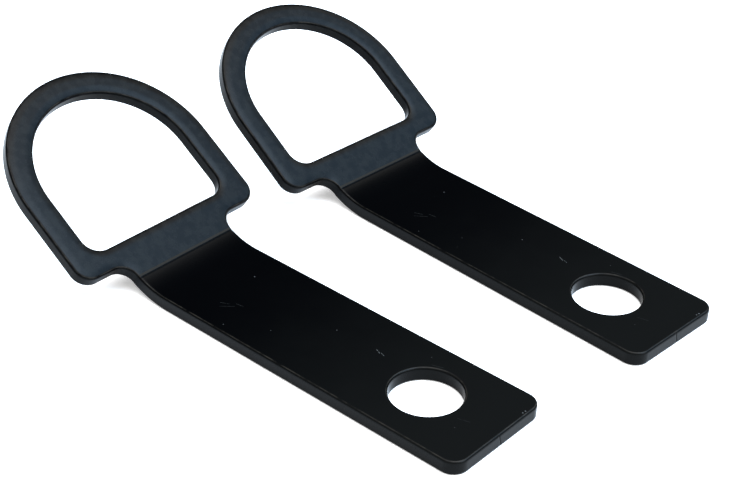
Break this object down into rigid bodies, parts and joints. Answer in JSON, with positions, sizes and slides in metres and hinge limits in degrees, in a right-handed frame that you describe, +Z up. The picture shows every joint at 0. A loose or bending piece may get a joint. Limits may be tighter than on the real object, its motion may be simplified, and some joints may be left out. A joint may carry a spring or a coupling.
{
  "type": "safety chain hook",
  "caption": "Pair of loose flat-bar hook plates: a strap with a round bolt hole at one end, one bend, and a wider turned-up head with a D-shaped eye for a safety chain's hook.",
  "frame": {"origin": "middle of the pair's footprint, on the surface that the two straps lie on", "axes": "+X from the heads to the square ends, along the front strap; +Y from the front hook to the rear hook; +Z up"},
  "size_m": [0.2522, 0.2018, 0.059],
  "materials": {
    "powder_coat": "satin black powder coat on steel plate"
  },
  "bodies": {
    "front": {"front_hook": "powder_coat"},
    "rear": {"rear_hook": "powder_coat"}
  },
  "joints": [
    {"name": "rear_hook_lift", "type": "slide", "parent": "front", "child": "rear", "axis": [0, 0, 1], "range_m": [0, 0.08]}
  ]
}
